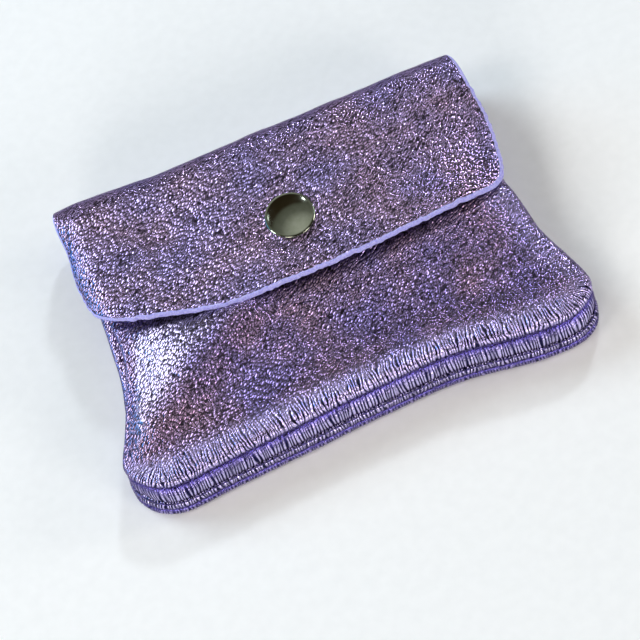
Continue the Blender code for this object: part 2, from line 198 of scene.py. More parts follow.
def colour(code):
    """A colour written as sRGB hex, turned to the linear values that a shader takes."""
    parts = [int(code[i:i + 2], 16) / 255 for i in (1, 3, 5)]
    return tuple(p / 12.92 if p <= 0.04045 else ((p + 0.055) / 1.055) ** 2.4 for p in parts) + (1.0,)


def set_inputs(node, inputs):
    """Link or set inputs, given by name or in order. A node stands for its first output in use."""
    for socket, value in inputs.items() if isinstance(inputs, dict) else enumerate(inputs):
        if isinstance(value, bpy.types.Node):
            value = next(output for output in value.outputs if output.enabled)
        if isinstance(value, bpy.types.NodeSocket):
            node.id_data.links.new(value, node.inputs[socket])
        else:
            node.inputs[socket].default_value = value


def add_node(tree, kind, inputs=(), stops=(), **settings):
    """Add a node with its settings and inputs. Stops are a ramp's places and hex colours."""
    kind, usual = (kind, {}) if isinstance(kind, str) else kind
    node = tree.nodes.new(kind)
    for name, value in (usual | settings).items():
        setattr(node, name, value)
    if stops:
        band = node.color_ramp.elements
        while len(band) < len(stops):
            band.new(0.5)
        for element, (place, code) in zip(band, stops):
            element.position = place
            element.color = colour(code)
    set_inputs(node, inputs)
    return node


def finish_of(name):
    """A new material, what adds nodes to it, its shader, and the place on the piece in metres."""
    material = bpy.data.materials.new(name)
    material.use_nodes = True
    add = partial(add_node, material.node_tree)
    place = add(PLACE).outputs["Object"]
    return material, add, material.node_tree.nodes["Principled BSDF"], place


def foiled_leather(name, warm, cool, painted_crest, low, high, depth, inner="#1D1A38"):
    """Goat leather with a lilac foil pressed on its pebbled grain, under a clear lacquer.

    The foil mirrors sharply from the top of each pebble, and it is thin and brown between them.
    Warm and cool tint it in slow patches. The crest colour is a painted highlight on the puckers' tops, from
    low to high on them, and their troughs take a painted shade.
    Inner is the painted shade deep in a seam, and depth is how far the grain stands up.
    """
    material, add, shader, place = finish_of(name)
    run, out, pull, pucker, stretch = (
        add("ShaderNodeAttribute", attribute_name=label).outputs["Fac"]
        for label in ("seam_run", "seam_distance", "seam_pull", "seam_pucker", "face_stretch_and_sheen"))
    # Pebbles about 1.2 by 0.5 mm that lie slantwise, pulled about so that no two are alike
    drift = add(NOISE, {"Vector": place, "Scale": 1 / (2.5 * MM), "Detail": 1.0})
    shifted = add(VECTOR_MINUS, (drift.outputs["Color"], HALF))
    placed = add(VECTOR, (shifted, (0.7 * MM,) * 3, place), operation="MULTIPLY_ADD")
    cells = add("ShaderNodeMapping", {
        "Vector": placed, "Rotation": (0.0, 0.0, math.radians(40.0)),
        "Scale": (1.25 * MM, 0.53 * MM, 0.8 * MM)}, vector_type="TEXTURE")
    pebble, border = (
        add("ShaderNodeTexVoronoi", {"Vector": cells, "Scale": 1.0, "Randomness": 0.9}, feature=feature)
        for feature in ("F1", "DISTANCE_TO_EDGE"))
    # Each pebble is a low dome that leans its own way
    away = add(VECTOR_MINUS, (cells, pebble.outputs["Position"]))
    own = add(VECTOR_MINUS, (pebble.outputs["Color"], HALF))
    lean, dome = (add(DOT, (away, other)) for other in (own, away))
    grain = add(MINUS, (add(TIMES, (lean, 0.4)), add(TIMES, (dome, 1.05))))
    # Streaks square to a seam, about 0.4 mm apart and 3 mm long
    along = add(TIMES, (run, 1 / (0.36 * MM)))
    across = add(TIMES, (out, 1 / (3 * MM)))
    streak = add(NOISE, {"Vector": add(JOINED, (along, across)), "Scale": 1.0, "Detail": 2.0,
                         "Roughness": 0.6})
    near = add(SOFT_RANGE, (out, 4 * MM, 13 * MM, 1.0, 0.0))
    drawn = add(TIMES, (near, pull))
    streaked = add(TIMES_PLUS, (grain, 0.3, add(TIMES, (streak, 0.6))))
    height = add(MIX, {"Factor": drawn, "A": grain, "B": streaked})
    # Where a fold stretches the leather, its grain is flatter, and the pale colour mixed in there is a
    # painted sheen on the fold's lit flank
    firm = add(MINUS, (1.0, add(TIMES, (stretch, 0.5))))
    bump = add(BUMP, {"Height": height, "Strength": firm, "Distance": depth})
    painted_sheen = add(TIMES, (stretch, 0.45))
    blotch = add(NOISE, {"Vector": place, "Scale": 1 / (16 * MM), "Detail": 2.0})
    tone_and_sheen = add(RAMP, (blotch,), ((0.35, warm), (0.65, cool)))
    tone_and_sheen = add(COLOUR_MIX, {"Factor": painted_sheen, "A": tone_and_sheen, "B": colour("#DED4F0")})
    # Painted highlight and shade on the puckers: near a seam the colour runs from deep, a navy painted shade
    # in their troughs, to the crest colour on their tops. Away from seams, deep is the dark colour between
    # the pebbles.
    bluer = add(COLOUR_MIX, {"Factor": drawn, "A": tone_and_sheen, "B": colour(painted_crest)})
    deep = add(COLOUR_MIX, {"Factor": drawn, "A": colour("#170C1E"), "B": colour("#15133C")})
    clear = add(MIX, {"Factor": drawn, "A": add(RANGE, (border, 0.03, 0.17)),
                      "B": add(RANGE, (pucker, low, high))})
    tint = add(COLOUR_MIX, {"Factor": clear, "A": deep, "B": bluer})
    # Painted shade in the seam: near the seam line the colour goes over to inner
    painted_seam_shade = add(RANGE, (out, 0.9 * MM, 2 * MM))
    tint = add(COLOUR_MIX, {"Factor": painted_seam_shade, "A": colour(inner), "B": tint})
    set_inputs(shader, {
        "Base Color": tint, "Normal": bump, "Coat Normal": bump, "Metallic": 0.9,
        "Roughness": add(RANGE, {"Value": blotch, "To Min": 0.16, "To Max": 0.24}),
        "Specular Tint": colour("#7A6C96"), "Coat Weight": 0.15, "Coat Roughness": 0.18})
    return material


def cut_leather():
    """Cut edge of the leather: dyed through in periwinkle, fibrous and matt."""
    material, add, shader, place = finish_of("cut_leather_edge")
    fibre = add(NOISE, {"Vector": place, "Scale": 1 / (0.35 * MM), "Detail": 3.0})
    set_inputs(shader, {
        "Base Color": add(RAMP, (fibre,), ((0.3, "#8F8DEC"), (0.7, "#CECBFF"))), "Roughness": 0.8,
        "Normal": add(BUMP, {"Height": fibre, "Strength": 0.9, "Distance": 0.3 * MM})})
    return material


def flesh_leather():
    """Flesh side of the leather: violet suede with a short nap."""
    material, add, shader, place = finish_of("suede_flesh_side")
    nap = add(NOISE, {"Vector": place, "Scale": 1 / (0.5 * MM), "Detail": 4.0})
    cloud = add(NOISE, {"Vector": place, "Scale": 1 / (9 * MM), "Detail": 2.0})
    mixed = add(PLUS, (add(TIMES, (nap, 0.6)), add(TIMES, (cloud, 0.4))))
    set_inputs(shader, {
        "Base Color": add(RAMP, (mixed,), ((0.35, "#574E96"), (0.65, "#8078C4"))), "Roughness": 0.95,
        "Normal": add(BUMP, {"Height": nap, "Strength": 0.6, "Distance": 0.1 * MM})})
    return material


def spun_polyester():
    """Dark violet polyester sewing thread, its two plies twisted to bands 1.6 mm apart."""
    material, add, shader, place = finish_of("twisted_polyester_thread")
    twist = add("ShaderNodeTexWave", {"Vector": place, "Scale": 0.2 * math.pi / (1.58 * MM),
                                      "Distortion": 1.0}, bands_direction="DIAGONAL")
    twist = twist.outputs["Fac"]
    set_inputs(shader, {
        "Base Color": add(RAMP, (twist,), ((0.0, "#2B2352"), (1.0, "#5C4FA0"))), "Roughness": 0.6,
        "Normal": add(BUMP, {"Height": twist, "Strength": 0.7, "Distance": 0.06 * MM})})
    return material


def black_nickel():
    """Black nickel plate on polished brass: a dark, faintly olive mirror."""
    material, add, shader, place = finish_of("polished_black_nickel")
    haze = add(NOISE, {"Vector": place, "Scale": 1 / (1.6 * MM), "Detail": 3.0})
    set_inputs(shader, {
        "Base Color": add(RAMP, (haze,), ((0.3, "#8C9180"), (0.7, "#969A8C"))), "Metallic": 1.0,
        "Roughness": add(RANGE, {"Value": haze, "To Min": 0.04, "To Max": 0.11})})
    return material


def spring_wire():
    """Drawn spring steel, with fine lines along the wire."""
    material, add, shader, place = finish_of("drawn_spring_steel")
    lines = add(NOISE, {"Vector": place, "Scale": 1 / (0.2 * MM), "Detail": 2.0})
    set_inputs(shader, {
        "Base Color": add(RAMP, (lines,), ((0.3, "#A6A7AB"), (0.7, "#BDBEC2"))), "Metallic": 1.0,
        "Roughness": add(RANGE, {"Value": lines, "To Min": 0.2, "To Max": 0.4})})
    return material


GRAIN = foiled_leather("foiled_goat_leather", "#CEB0D8", "#B7A6E0", "#BCA8EC",
                       low=-0.55, high=0.1, depth=0.235 * MM)
# The front panel's leather: the flap's with darker tints, as painted shade
SHADED_PANEL_GRAIN = foiled_leather("foiled_goat_leather_painted_shade", "#B696B8", "#A08ECA", "#CEC0F6",
                               low=-0.5, high=0.2, depth=0.29 * MM)
GATHERED_GRAIN = foiled_leather("foiled_goat_leather_gathered", "#CAAAD2", "#B6A4E0", "#D2C6F8",
                                low=-0.35, high=0.65, depth=0.22 * MM, inner="#4C4290")
CUT = cut_leather()
FLESH = flesh_leather()
THREAD_FINISH = spun_polyester()
NICKEL = black_nickel()
SPRING = spring_wire()


# The purse's surfaces

def ease(share):
    """A share that starts and ends softly, held between 0 and 1."""
    share = np.clip(share, 0.0, 1.0)
    return share * share * (3.0 - 2.0 * share)


def half_width(y, mouth_width, mouth_y):
    """Half the width of a pouch at height y: it flares from its mouth to its bottom."""
    late = np.clip((mouth_y - y) / (mouth_y - BOTTOM_Y), 0.0, 1.0) ** FLARE_POWER
    return (mouth_width + (BOTTOM_WIDTH - mouth_width) * ease(late)) / 2


def crown(x, y, mouth_width, mouth_y, rise):
    """How far a panel's face stands proud of its sewn edge."""
    across = np.clip(np.abs(x) / (half_width(y, mouth_width, mouth_y) - ROLL), 0.0, 1.0)
    down = np.clip((mouth_y - y) / (mouth_y - BOTTOM_Y - ROLL), 0.0, 1.0)
    return rise * (1 - across ** CROWN_POWER) * (1 - down ** CROWN_POWER)


def front_z(x, y):
    """Height of the front panel's face over the table, tilted as the pouch lies."""
    lean = math.tan(TILT) * (y - SPREAD_AXIS.y)
    swell = crown(x, y, FRONT_WIDTH, FRONT_MOUTH_Y, FRONT_CROWN)
    return SPREAD_AXIS.z + lean + (FRONT_TOP + swell - SPREAD_AXIS.z) / math.cos(TILT)


def flap_z(x, y):
    """Height of the flap's flesh side, level at the fold and draped on the pouch further on.

    It is flatter on its left, where only its margin bends down. A slow hollow lies left of the
    snap, and a slow rise at its upper right.
    """
    x = np.where(x < 0, 0.64 * x, x)
    across = np.clip(np.abs(x) / (FLAP_WIDTH / 2), 0.0, 1.0)
    lift = GAP + (SNAP_HEIGHT - GAP) * (1 - across ** 4)
    draped = front_z(x, y) + lift / math.cos(TILT)
    level = front_z(np.zeros_like(x), y) + SNAP_HEIGHT / math.cos(TILT)
    hollow = np.exp(-((x + 19 * MM) / (10 * MM)) ** 2 - ((y - 21 * MM) / (14 * MM)) ** 2)
    rise = np.exp(-((x - 38 * MM) / (15 * MM)) ** 2 - ((y - 31 * MM) / (9 * MM)) ** 2)
    folds = (0.6 * rise - 1.0 * hollow) * MM * ease((FOLD_Y + 4 * MM - y) / (12 * MM))
    return level + (draped - level) * ease((FOLD_Y - y) / DRAPE_LENGTH) + folds


def ridge_share(x, y):
    """How far past the front panel's slanting ridge a place lies, in mm, and the ridge's share."""
    past = (-0.57 * (x - RIDGE_X) + 0.82 * (y - RIDGE_Y)) / MM
    along = (0.82 * (x - RIDGE_X) + 0.57 * (y - RIDGE_Y)) / MM
    share = np.where(past > 0, np.clip(1 - past / RIDGE_PAST, 0.0, None) ** 1.3,
                     np.exp(-(past / RIDGE_BEFORE) ** 2))
    return past, share * ease((14 - along) / 20) * ease((along + 50) / 14)


def face_swell(x, y):
    """Slow folds in the front panel's face, read from the photograph.

    A slanting ridge runs from under the flap into the left corner, with a dip at its left. A
    shallow trough lies over the bottom seam, and a short furrow by the right seam.
    """
    _, ridge = ridge_share(x, y)
    dip = np.exp(-((x + 50 * MM - 0.25 * (y + 8 * MM)) / (7 * MM)) ** 2
                 - ((y + 10 * MM) / (14 * MM)) ** 2)
    trough = np.exp(-((y + 19 * MM + 0.08 * x) / (7 * MM)) ** 2)
    trough = trough * ease((x + 14 * MM) / (14 * MM)) * ease((50 * MM - x) / (12 * MM))
    furrow = np.exp(-((x - 49 * MM) / (2.5 * MM)) ** 2 - ((y + 9 * MM) / (9 * MM)) ** 2)
    fade = ease((8 * MM - y) / (14 * MM)) * ease((y - BOTTOM_Y - 3 * MM) / (9 * MM))
    inner = half_width(y, FRONT_WIDTH, FRONT_MOUTH_Y) - np.abs(x)
    fade = fade * ease(inner / (5 * MM))
    return (3.6 * ridge - 1.2 * dip - 0.9 * trough - 0.7 * furrow) * MM * fade


def settle(points):
    """How the soft leather has settled, read from the photograph; no change at the snap.

    The front seam lies further up the purse and higher than the joining seam, over a fuller wall.
    """
    moved = points.copy()
    low = ease((-23 * MM - points[:, 1]) / (17 * MM))
    fuller = low * ease((points[:, 2] - REAR_TOP) / (3.2 * MM))
    moved[:, 1] += 2.5 * MM * fuller
    moved[:, 2] += 1.9 * MM * fuller
    for x, y, reach, lowest, dx, dy in SETTLED:
        gap = ((points[:, 0] / MM - x) ** 2 + (points[:, 1] / MM - y) ** 2) / reach ** 2
        share = np.exp(-gap) * (ease((points[:, 2] / MM - lowest + 1) / 2) if lowest else 1.0)
        moved[:, 0] += dx * MM * share
        moved[:, 1] += dy * MM * share
    return moved


# Shells of leather

def added(name, data):
    """A new object at the origin, in the scene."""
    piece = bpy.data.objects.new(name, data)
    bpy.context.scene.collection.objects.link(piece)
    return piece


def tilted(points):
    """Points turned with the front pouch about the bottom seam."""
    turn = np.array(FRONT_FRAME)
    return points @ turn[:3, :3].T + turn[:3, 3]


def faced_out(mesh, clean=False):
    """Turn a closed mesh's faces outwards, after a clean where points may meet."""
    shape = bmesh.new()
    shape.from_mesh(mesh)
    if clean:
        bmesh.ops.remove_doubles(shape, verts=shape.verts, dist=1e-7)
        bmesh.ops.dissolve_degenerate(shape, dist=1e-8, edges=shape.edges)
    bmesh.ops.recalc_face_normals(shape, faces=shape.faces)
    shape.to_mesh(mesh)
    shape.free()
    mesh.shade_smooth()


class Edge:
    """A shell's outer edge from the left end of its mouth to the right, with inward directions."""

    def __init__(self, path, pitch_at, smoothing=2.2 * MM):
        path, _ = self.spaced(path, np.full(len(path), EVEN_PITCH))
        half = int(4 * smoothing / EVEN_PITCH)
        weights = np.exp(-0.5 * (np.arange(-half, half + 1) * EVEN_PITCH / smoothing) ** 2)
        weights /= weights.sum()
        before = 2 * path[0] - path[half:0:-1]
        after = 2 * path[-1] - path[-2:-half - 2:-1]
        long = np.vstack((before, path, after))
        path = np.column_stack([np.convolve(long[:, k], weights, "valid") for k in (0, 1)])
        self.points, self.run = self.spaced(path, pitch_at(path))
        along = np.gradient(self.points, self.run, axis=0)
        along /= np.hypot(along[:, 0], along[:, 1])[:, None]
        self.inward = np.column_stack((-along[:, 1], along[:, 0]))
        self.inward[0] = (1.0, 0.0)
        self.inward[-1] = (-1.0, 0.0)
        self.pull = np.zeros(len(self.points))
        self.taper = 1.0

    @staticmethod
    def spaced(path, pitch):
        """Places along a path at a pitch that may vary, and how far along each one lies."""
        step = np.hypot(*np.diff(path, axis=0).T)
        run = np.concatenate(([0.0], np.cumsum(step)))
        count = np.concatenate(([0.0], np.cumsum(step * 2 / (pitch[1:] + pitch[:-1]))))
        places = np.interp(np.linspace(0, count[-1], int(round(count[-1])) + 1), count, run)
        return np.column_stack([np.interp(places, run, path[:, k]) for k in (0, 1)]), places

    def inset(self, distance):
        """The edge moved inwards, less where it tapers."""
        return self.points + self.inward * np.reshape(distance * self.taper, (-1, 1))


def pouch_path(mouth_width, mouth_y):
    """The sewn edge of a pouch, down one side, round the bottom and up the other."""
    corner_y = BOTTOM_Y + CORNER
    corner_x = float(half_width(corner_y, mouth_width, mouth_y)) - CORNER
    y = np.linspace(mouth_y, corner_y, 400, endpoint=False)
    side = np.column_stack((-half_width(y, mouth_width, mouth_y), y))
    turn = np.linspace(0, math.pi / 2, 120, endpoint=False)
    corner = np.column_stack((-corner_x - CORNER * np.cos(turn), corner_y - CORNER * np.sin(turn)))
    across = np.linspace(-1, 1, 900)
    bottom = np.column_stack((corner_x * across, BOTTOM_Y + BOTTOM_BOW * (1 - across ** 2) ** 2))
    left = np.vstack((side, corner))
    return np.vstack((left, bottom, left[::-1] * (-1, 1)))


def flap_path():
    """The flap's cut edge: down one side, along the bowed free edge and up the other."""
    straight = FLAP_WIDTH / 2 - FLAP_CORNER
    lowest = HEIGHT / 2 - FLAP_LENGTH
    turn = np.linspace(0, math.pi / 2, 160)
    x = np.concatenate((-straight - FLAP_CORNER * np.cos(turn), np.linspace(-straight, 0, 300)[1:]))
    past = np.clip(-x - straight, 0.0, FLAP_CORNER)
    y = (lowest + FLAP_BOW * (2 * x / FLAP_WIDTH) ** 2
         + FLAP_CORNER - np.sqrt(FLAP_CORNER ** 2 - past ** 2))
    down = np.linspace(FLAP_START_Y, y[0], 160, endpoint=False)
    left = np.vstack((np.column_stack((np.full(160, -FLAP_WIDTH / 2), down)),
                      np.column_stack((x, y))))
    right = left[-2::-1] * (-1, 1)
    # The free edge lies higher on its left
    rise = ease((-18 * MM - left[:, 0]) / (38 * MM)) * ease((22 * MM - left[:, 1]) / (16 * MM))
    left[:, 1] += 4.5 * MM * rise
    return np.vstack((left, right))


def bend_margin(points):
    """The flap's left margin, bent down over the side of the pouch, and less round the fold."""
    reach = np.clip(MARGIN_START - points[:, 0], 0.0, None) * 1.15
    share = ease((FLAP_START_Y + 11 * MM - points[:, 1]) / (14 * MM))
    share = share * ease((points[:, 2] - 12 * MM) / (3 * MM))
    bend = MARGIN_RADIUS / np.maximum(share, 0.01)
    turn = reach / bend
    moved = points.copy()
    past = reach > 0
    moved[past, 0] = (MARGIN_START - bend * np.sin(turn))[past]
    moved[past, 2] -= (bend * (1 - np.cos(turn)))[past]
    return moved


def inside(spots, border):
    """Which spots lie inside a closed border."""
    x, y = spots[:, :1], spots[:, 1:]
    ax, ay = border.T
    bx, by = np.roll(border, -1, axis=0).T
    result = np.zeros(len(spots), bool)
    for part in np.array_split(np.arange(len(spots)), max(1, len(spots) // 2000)):
        crosses = (ay > y[part]) != (by > y[part])
        at = ax + (y[part] - ay) * (bx - ax) / np.where(by == ay, 1.0, by - ay)
        result[part] = (crosses & (x[part] < at)).sum(1) % 2 == 1
    return result


def fill(border, spacing, hole):
    """Spots and triangles that fill a border: its own points come first, then the hole's."""
    low, high = border.min(0), border.max(0)
    x, y = np.meshgrid(np.arange(low[0], high[0], spacing),
                       np.arange(low[1], high[1], spacing * math.sqrt(0.75)))
    x[1::2] += spacing / 2
    spots = np.column_stack((x.ravel(), y.ravel()))
    spots = spots[inside(spots, border)]
    tree = KDTree(len(border))
    for i, (bx, by) in enumerate(border):
        tree.insert((bx, by, 0.0), i)
    tree.balance()
    found = [tree.find((sx, sy, 0.0)) for sx, sy in spots]
    away = np.array([f[2] for f in found])
    nearest = np.array([f[1] for f in found])
    keep = away > 0.6 * spacing
    ring = np.zeros((0, 2))
    if hole:
        centre, radius = hole
        turn = np.linspace(0, 2 * math.pi, HOLE_STEPS, endpoint=False)
        ring = np.column_stack((centre[0] + radius * np.cos(turn), centre[1] + radius * np.sin(turn)))
        keep &= np.hypot(*(spots - centre).T) > radius + 0.5 * spacing
    spots, away, nearest = spots[keep], away[keep], nearest[keep]
    everything = np.vstack((border, ring, spots))
    count = len(border)
    edges = [(i, (i + 1) % count) for i in range(count)]
    edges += [(count + i, count + (i + 1) % len(ring)) for i in range(len(ring))]
    scale = 1 / MM
    flat = [Vector((x * scale, y * scale)) for x, y in everything]
    got = delaunay_2d_cdt(flat, edges, [], 1, 1e-6)
    source = [o[0] for o in got[3]]
    triangles = np.array([[source[i] for i in face] for face in got[2]])
    if hole:
        middle = everything[triangles].mean(1)
        triangles = triangles[np.hypot(*(middle - centre).T) > radius * 0.98]
    return everything, triangles, away, nearest, len(ring)


def quads(numbers):
    """Four-cornered faces between neighbouring rows of point numbers."""
    return np.stack((numbers[:-1, :-1], numbers[:-1, 1:], numbers[1:, 1:], numbers[1:, :-1]),
                    -1).reshape(-1, 4)


class Shell:
    """Points and faces of one leather shell, with what its finishes read."""

    def __init__(self):
        self.points = []
        self.values = {"seam_run": [], "seam_distance": [], "relief_share": [], "seam_pull": []}
        self.faces = []
        self.finish = []
        self.count = 0

    def add_points(self, points, run, away, relief, pull=0.0):
        """Add points with their values, and give back their numbers."""
        numbers = np.arange(self.count, self.count + len(points))
        self.points.append(points)
        for store, value in zip(self.values.values(), (run, away, relief, pull)):
            store.append(np.broadcast_to(np.asarray(value, float), (len(points),)))
        self.count += len(points)
        return numbers

    def add_faces(self, faces, finish):
        self.faces += [tuple(f) for f in faces.tolist()]
        self.finish += [finish] * len(faces)

    def join(self, sides, part, closed=False):
        """Close the shell between its sides, along one part of what leaf gives."""
        rows = np.array([side[part] for side in sides])
        self.add_faces(quads(np.hstack((rows, rows[:, :1])) if closed else rows), 1)

    def leaf(self, edge, rows, height, spacing, hole, mouth, finishes, relief):
        """One side of the shell: rows along the edge, then its face. Gives its border, first row and hole."""
        numbers = []
        for inset, lift, crowned, away in rows:
            flat = edge.inset(inset)
            z = height(flat[:, 0], flat[:, 1], lift, crowned)
            numbers.append(self.add_points(np.column_stack((flat, z)), edge.run, away, relief,
                                           edge.pull))
        numbers = np.array(numbers)
        last = edge.inset(rows[-1][0])
        line = np.column_stack((np.linspace(last[-1, 0], last[0, 0], mouth)[1:-1],
                                np.full(mouth - 2, last[0, 1])))
        flat, triangles, away, nearest, ring = fill(np.vstack((last, line)), spacing, hole)
        rest = flat[len(last):]
        line_away = np.minimum(line[:, 0] - last[0, 0], last[-1, 0] - line[:, 0])
        line_run = np.where(line[:, 0] < 0, edge.run[0], edge.run[-1])
        runs = np.concatenate((edge.run, line_run))
        far = np.concatenate((line_away, np.full(ring, FAR_FROM_SEAM), away)) + rows[-1][3]
        own_run = np.concatenate((line_run, np.zeros(ring), runs[nearest]))
        lift, crowned = rows[-1][1:3]
        z = height(rest[:, 0], rest[:, 1], lift, crowned)
        line_pull = np.where(line_run > edge.run[0], edge.pull[-1], edge.pull[0])
        pulls = np.concatenate((edge.pull, line_pull))
        own_pull = np.concatenate((line_pull, np.zeros(ring), pulls[nearest]))
        more = self.add_points(np.column_stack((rest, z)), own_run, far, relief, own_pull)
        lookup = np.concatenate((numbers[-1], more))
        for i in range(len(rows) - 1):
            self.add_faces(quads(numbers[i:i + 2]), finishes[i])
        self.add_faces(lookup[triangles], finishes[-1])
        border = np.concatenate((numbers[:, 0], more[:len(line)][::-1], numbers[::-1, -1]))
        return border, numbers[0], more[len(line):len(line) + ring]

    def build(self, name, stretched_and_sheened=False):
        """The shell as an object in the scene, marked where the ridge stretches it and where its painted
        sheen lies, if asked.
        """
        mesh = bpy.data.meshes.new(name)
        points = settle(np.vstack(self.points))
        mesh.from_pydata(points.tolist(), [], self.faces)
        values = {label: np.concatenate(parts) for label, parts in self.values.items()}
        if stretched_and_sheened:
            past, share = ridge_share(points[:, 0], points[:, 1])
            inner = half_width(points[:, 1], FRONT_WIDTH, FRONT_MOUTH_Y) - np.abs(points[:, 0])
            share = share * ease((inner - 2 * MM) / (4 * MM))
            values["face_stretch_and_sheen"] = ease((past + 3) / 9) * ease(3 * share)
        for label, value in values.items():
            attribute = mesh.attributes.new(label, "FLOAT", "POINT")
            attribute.data.foreach_set("value", value.astype(np.float32))
        attribute = mesh.attributes.new("finish", "INT", "FACE")
        attribute.data.foreach_set("value", np.array(self.finish, np.int32))
        faced_out(mesh)
        return added(name, mesh)


def shape_tree(name, numbers, materials):
    """A geometry node group with named inputs, what adds nodes to it, and its inputs."""
    tree = bpy.data.node_groups.new(name, "GeometryNodeTree")
    sockets = [("Geometry", "INPUT", "Geometry"), ("Geometry", "OUTPUT", "Geometry")]
    sockets += [(label, "INPUT", "Float") for label in numbers]
    sockets += [(label, "INPUT", "Material") for label in materials]
    for label, way, kind in sockets:
        tree.interface.new_socket(label, in_out=way, socket_type="NodeSocket" + kind)
    add = partial(add_node, tree)
    return tree, add, add("NodeGroupInput").outputs


def relief_tree():
    """Geometry nodes that raise puckers along a seam and slow wrinkles over a shell."""
    finishes = ("Grain Side", "Cut Edge", "Flesh Side")
    tree, add, given = shape_tree("leather_relief", (
        "Pucker Pitch", "Pucker Length", "Pucker Depth", "Pucker Begin", "Pucker Start",
        "Pucker Reach", "Wrinkle Size", "Wrinkle Depth", "Seed"), finishes)
    run, away, share, pull = (
        add(NAMED, {"Name": label}, data_type="FLOAT")
        for label in ("seam_run", "seam_distance", "relief_share", "seam_pull"))
    # Puckers: ridges square to the seam, uneven in place and strength, which fade away from it
    count = add(OVER, (run, given["Pucker Pitch"]))
    rows = add(OVER, (away, given["Pucker Length"]))
    place = add(JOINED, (add(TIMES, (count, 0.6)), rows, given["Seed"]))
    chance = add(NOISE, {"Vector": place, "Scale": 1.0, "Detail": 1.0, "Roughness": 0.45})
    vary = add(RANGE, (chance, 0.32, 0.68, 0.3, 1.8))
    rows = add(TIMES, (away, 1 / (6 * MM)))
    place = add(JOINED, (add(TIMES, (count, 0.3)), rows, given["Seed"]))
    wander = add(NOISE, {"Vector": place, "Scale": 1.0, "Detail": 2.0})
    turn = add(TIMES, (count, 2 * math.pi))
    ridge = add(MATH, (add(TIMES_PLUS, (wander, 22.0, turn)),), operation="SINE")
    slow = add(TIMES, (run, 1 / (5 * MM)))
    uneven = add(NOISE, {"Vector": add(JOINED, (slow, 0.0, given["Seed"])), "Scale": 1.0, "Detail": 1.0})
    stretch = add(TIMES_PLUS, (uneven, 1.3, 0.35))
    reach = add(TIMES, (given["Pucker Reach"], stretch))
    fade = add(SOFT_RANGE, (away, given["Pucker Start"], reach, 1.0, 0.0))
    begin = add(SOFT_RANGE, (away, 0.2 * MM, given["Pucker Begin"]))
    raised = ridge
    for factor in (vary, begin, fade, stretch, pull):
        raised = add(TIMES, (raised, factor))
    pucker = add(TIMES, (raised, given["Pucker Depth"]))
    # Wrinkles: slow noise over the whole shell
    spot = add(VECTOR, (add("GeometryNodeInputPosition"), given["Wrinkle Size"]), operation="DIVIDE")
    soft = add(MINUS, (add(NOISE, {"Vector": spot, "Scale": 1.0, "Detail": 2.0}), 0.5))
    total = add(TIMES_PLUS, (soft, given["Wrinkle Depth"], pucker))
    offset = add(VECTOR, {0: add("GeometryNodeInputNormal"), "Scale": add(TIMES, (total, share))},
                 operation="SCALE")
    marked = add("GeometryNodeStoreNamedAttribute", {
        "Geometry": given["Geometry"], "Name": "seam_pucker", "Value": raised}, data_type="FLOAT")
    moved = add("GeometryNodeSetPosition", {"Geometry": marked, "Offset": offset})
    result = add("GeometryNodeRealizeInstances", {"Geometry": moved})
    kind = add(NAMED, {"Name": "finish"}, data_type="INT")
    for number, label in enumerate(finishes):
        chosen = add("FunctionNodeCompare", {2: kind, 3: number}, data_type="INT", operation="EQUAL")
        result = add("GeometryNodeSetMaterial", {"Geometry": result, "Selection": chosen,
                                                 "Material": given[label]})
    add("NodeGroupOutput", {"Geometry": result})
    return tree


def apply_tree(piece, tree, **values):
    """Run a geometry tree on a piece with named inputs, and give back a plain mesh object."""
    modifier = piece.modifiers.new(tree.name, "NODES")
    modifier.node_group = tree
    sockets = {s.name: s.identifier for s in tree.interface.items_tree if s.in_out == "INPUT"}
    for label, value in values.items():
        modifier[sockets[label.replace("_", " ").title()]] = value
    graph = bpy.context.evaluated_depsgraph_get()
    mesh = bpy.data.meshes.new_from_object(piece.evaluated_get(graph), depsgraph=graph)
    name = piece.name
    old = piece.data
    bpy.data.objects.remove(piece)
    bpy.data.meshes.remove(old)
    mesh.name = name
    return added(name, mesh)


RELIEF = relief_tree()


def roll_rows(radius, top_drop, allowance_drop):
    """Inset, drop, crown and distance from the seam, over the allowance, roll and face."""
    rows = [(ROLL + ALLOWANCE, allowance_drop, 0.0, 0.0)]
    for i in range(ROLL_STEPS + 1):
        turn = math.pi * (i / ROLL_STEPS - 0.5)
        rows.append((ROLL - radius * math.cos(turn), ROLL - radius * math.sin(turn), 0.0,
                     ROLL * (turn + math.pi / 2)))
    for i in range(1, BAND_ROWS + 1):
        inset = BAND_WIDTH * (i / BAND_ROWS) ** 1.25
        rows.append((ROLL + inset, top_drop, 1.0, math.pi * ROLL + inset))
    return rows


